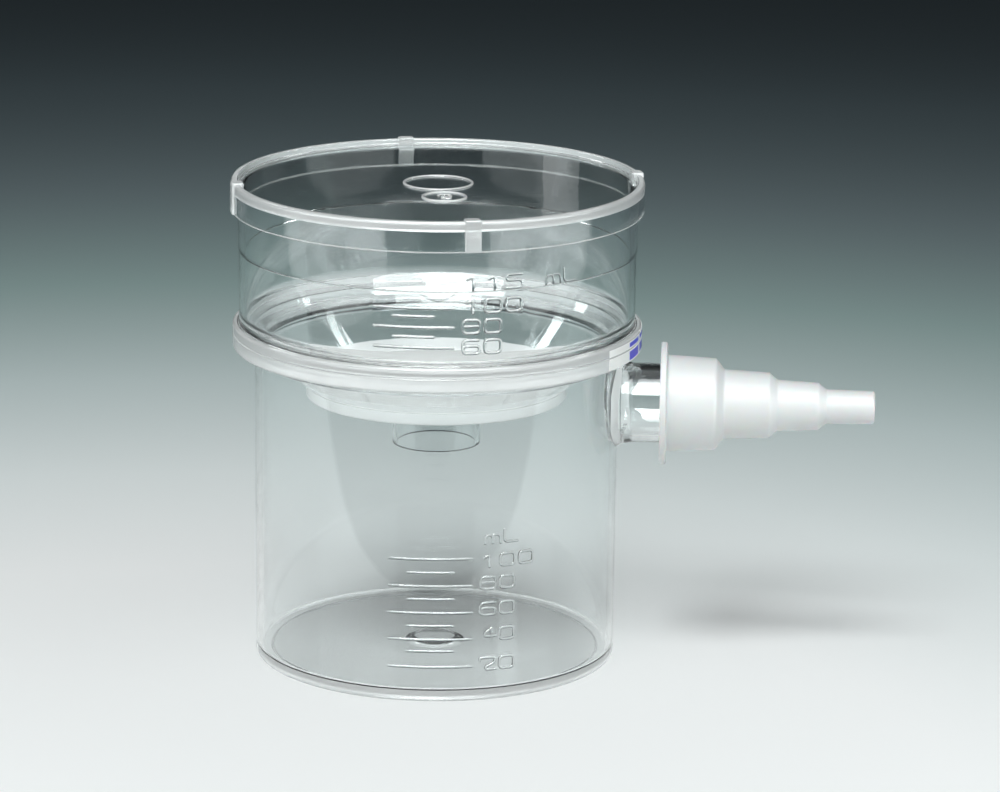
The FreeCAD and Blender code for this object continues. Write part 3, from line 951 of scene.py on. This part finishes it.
def add_soft_boxes():
    """Two standing soft boxes beside the camera, two small lights high at the back, a key light
    above the camera with a wider one below it, a broad sheen from the same side, and a far slit
    of light. The sheen lights only show in gloss, so the plastic glints and the floor keeps its
    tone."""
    lights = []
    box_reach, box_height = 0.33, 0.232
    box_size = (0.40, 0.456)
    box_aim = (0, 0, box_height)
    for name, turn_away in (("left", -59), ("right", 59)):
        side = math.radians(CAMERA_SIDE + turn_away)
        where = (box_reach * math.cos(side), box_reach * math.sin(side), box_height)
        lights.append(("soft_box_" + name, where, box_aim, box_size, 0.52, False))
        lights.append(("soft_sheen_" + name, where, box_aim, box_size, 4.4, True))
    middle = (0, 0, 0.05)
    streak_aim, streak_size = (0, 0, 0.06), (0.11, 0.20)
    lights += [
        ("streak_right", (0.448, 0.425, 0.714), streak_aim, streak_size, 0.9, True),
        ("streak_left", (-0.504, 0.447, 0.654), streak_aim, streak_size, 0.9, True),
        ("key", (-0.03, -0.41, 0.90), middle, (0.42, 0.26), 3.9, False),
        ("key_low", (-0.04, -0.66, 0.72), middle, (0.50, 0.26), 3.6, False),
        ("key_sheen", (0.02, -0.44, 0.87), middle, (0.95, 0.84), 17.5, True),
        ("far_slit", (-0.031, 1.6, 0.42), (-0.031, 0, 0.42), (0.019, 0.6), 0.008, True),
    ]
    for name, where, aim, size, power, sheen in lights:
        add_light(name, where, aim, size, power).visible_diffuse = not sheen


def add_black_card():
    """A black card that lies in front of the unit, just out of view. Clear plastic needs
    something dark to mirror, or its walls don't show. Only reflections see it."""
    made = bmesh.new()
    bmesh.ops.create_grid(made, x_segments=1, y_segments=1, size=1.0)
    bmesh.ops.scale(made, verts=made.verts, vec=Vector((1.5, 0.7, 1)))
    bmesh.ops.translate(made, verts=made.verts, vec=Vector((0, -0.805, 0.0004)))
    card = place(made, "black_card")
    card.data.materials.append(shared(velvet_card, "flocked_black_card"))
    card.visible_camera = False
    card.visible_shadow = False
    card.visible_diffuse = False


def dim_room():
    """The room round the studio: dim, and darkest low at the back."""
    world = bpy.data.worlds.new("studio")
    world.use_nodes = True
    tree = world.node_tree
    surround = tree.nodes["Background"]
    way = add_node(tree, "ShaderNodeTexCoord").outputs["Generated"]
    parts = add_node(tree, "ShaderNodeSeparateXYZ", {}, {"Vector": way})
    back = add_node(tree, "ShaderNodeMapRange", {"interpolation_type": "SMOOTHSTEP"}, {
        "Value": parts.outputs["Y"], "From Min": 0.25, "From Max": 0.75})
    low = add_node(tree, "ShaderNodeMapRange", {"interpolation_type": "SMOOTHSTEP"}, {
        "Value": parts.outputs["Z"], "From Min": 0.65, "From Max": 0.35})
    both = add_node(tree, "ShaderNodeMath", {"operation": "MULTIPLY"}, {
        0: back.outputs["Result"], 1: low.outputs["Result"]})
    tone = add_node(tree, "ShaderNodeMix", {"data_type": "RGBA"}, {
        "Factor": both.outputs[0], 6: linear("#3E4040"), 7: linear("#080B0D")})
    tree.links.new(tone.outputs[2], surround.inputs["Color"])
    return world


class FILTRATION_OT_make_studio(bpy.types.Operator):
    """Make the studio: the floor, soft lights, surroundings and camera"""
    bl_idname = "filtration.make_studio"
    bl_label = "Make Studio"

    def execute(self, context):
        scene = context.scene
        made = bmesh.new()
        bmesh.ops.create_circle(made, cap_ends=True, segments=96, radius=6.0)
        floor = place(made, "studio_floor")
        # The paper's colour carries a painted pool of light round the unit.
        floor.data.materials.append(shared(painted_pool_paper, "background_paper_painted_pool"))

        add_black_card()
        scene.world = dim_room()
        add_soft_boxes()

        lens = bpy.data.cameras.new("camera")
        lens.sensor_width = 36.0
        lens.lens = 175.335
        lens.clip_start = 0.01
        lens.clip_end = 50.0
        camera = bpy.data.objects.new("camera", lens)
        # The lens stands in front of the unit, a little above it, and looks down on it.
        yaw = math.radians(0.7707)
        pitch = math.radians(14.3619)
        roll = math.radians(0.6372)
        round_the_unit = math.radians(3.44)
        forward = Vector((math.sin(yaw) * math.cos(pitch), math.cos(yaw) * math.cos(pitch),
                          -math.sin(pitch)))
        right = Vector((math.cos(yaw), -math.sin(yaw), 0))
        up = right.cross(forward)
        leaning_right = right * math.cos(roll) + up * math.sin(roll)
        leaning_up = up * math.cos(roll) - right * math.sin(roll)
        stand = Matrix((leaning_right, leaning_up, -forward)).transposed().to_4x4()
        stand.translation = Vector((0, -0.9386255, 0.2928033))
        camera.matrix_world = Matrix.Rotation(round_the_unit, 4, "Z") @ stand
        scene.collection.objects.link(camera)
        scene.camera = camera

        scene.cycles.max_bounces = 14
        scene.cycles.transmission_bounces = 14
        scene.cycles.glossy_bounces = 5
        scene.cycles.transparent_max_bounces = 12
        scene.view_settings.view_transform = "Standard"
        return {"FINISHED"}


class FILTRATION_PT_pieces(bpy.types.Panel):
    """The pieces of the unit, each with the button that makes it"""
    bl_label = "Filtration Unit"
    bl_idname = "FILTRATION_PT_pieces"
    bl_space_type = "VIEW_3D"
    bl_region_type = "UI"
    bl_category = "Filtration"

    def draw(self, context):
        """List a button for each operator, then each group of settings."""
        layout = self.layout
        for operator in OPERATORS:
            layout.operator(operator.bl_idname)
        for name in SETTINGS:
            group = getattr(context.scene, name)
            box = layout.box()
            for field in group.bl_rna.properties.keys():
                if field not in ("rna_type", "name"):
                    box.prop(group, field)


SETTINGS = {
    "filtration_lid": FiltrationLid,
    "filtration_funnel": FiltrationFunnel,
    "filtration_receiver": FiltrationReceiver,
    "filtration_colours": FiltrationColours,
}

OPERATORS = [
    FILTRATION_OT_make_studio,
    FILTRATION_OT_make_lid,
    FILTRATION_OT_make_chamber,
    FILTRATION_OT_make_membrane,
    FILTRATION_OT_make_drain_plate,
    FILTRATION_OT_make_receiver,
    FILTRATION_OT_make_adapter,
    FILTRATION_OT_make_seals,
]


def register():
    """Register the classes and hang the settings on the scene."""
    for kind in list(SETTINGS.values()) + OPERATORS + [FILTRATION_PT_pieces]:
        bpy.utils.register_class(kind)
    for name, kind in SETTINGS.items():
        setattr(bpy.types.Scene, name, bpy.props.PointerProperty(type=kind))


def unregister():
    """Take them all off again."""
    for name in SETTINGS:
        delattr(bpy.types.Scene, name)
    for kind in [FILTRATION_PT_pieces] + OPERATORS[::-1] + list(SETTINGS.values())[::-1]:
        bpy.utils.unregister_class(kind)


def main():
    """Make every piece and the studio."""
    register()
    for operator in OPERATORS:
        group, name = operator.bl_idname.split(".")
        getattr(getattr(bpy.ops, group), name)()


if __name__ == "__main__":
    main()
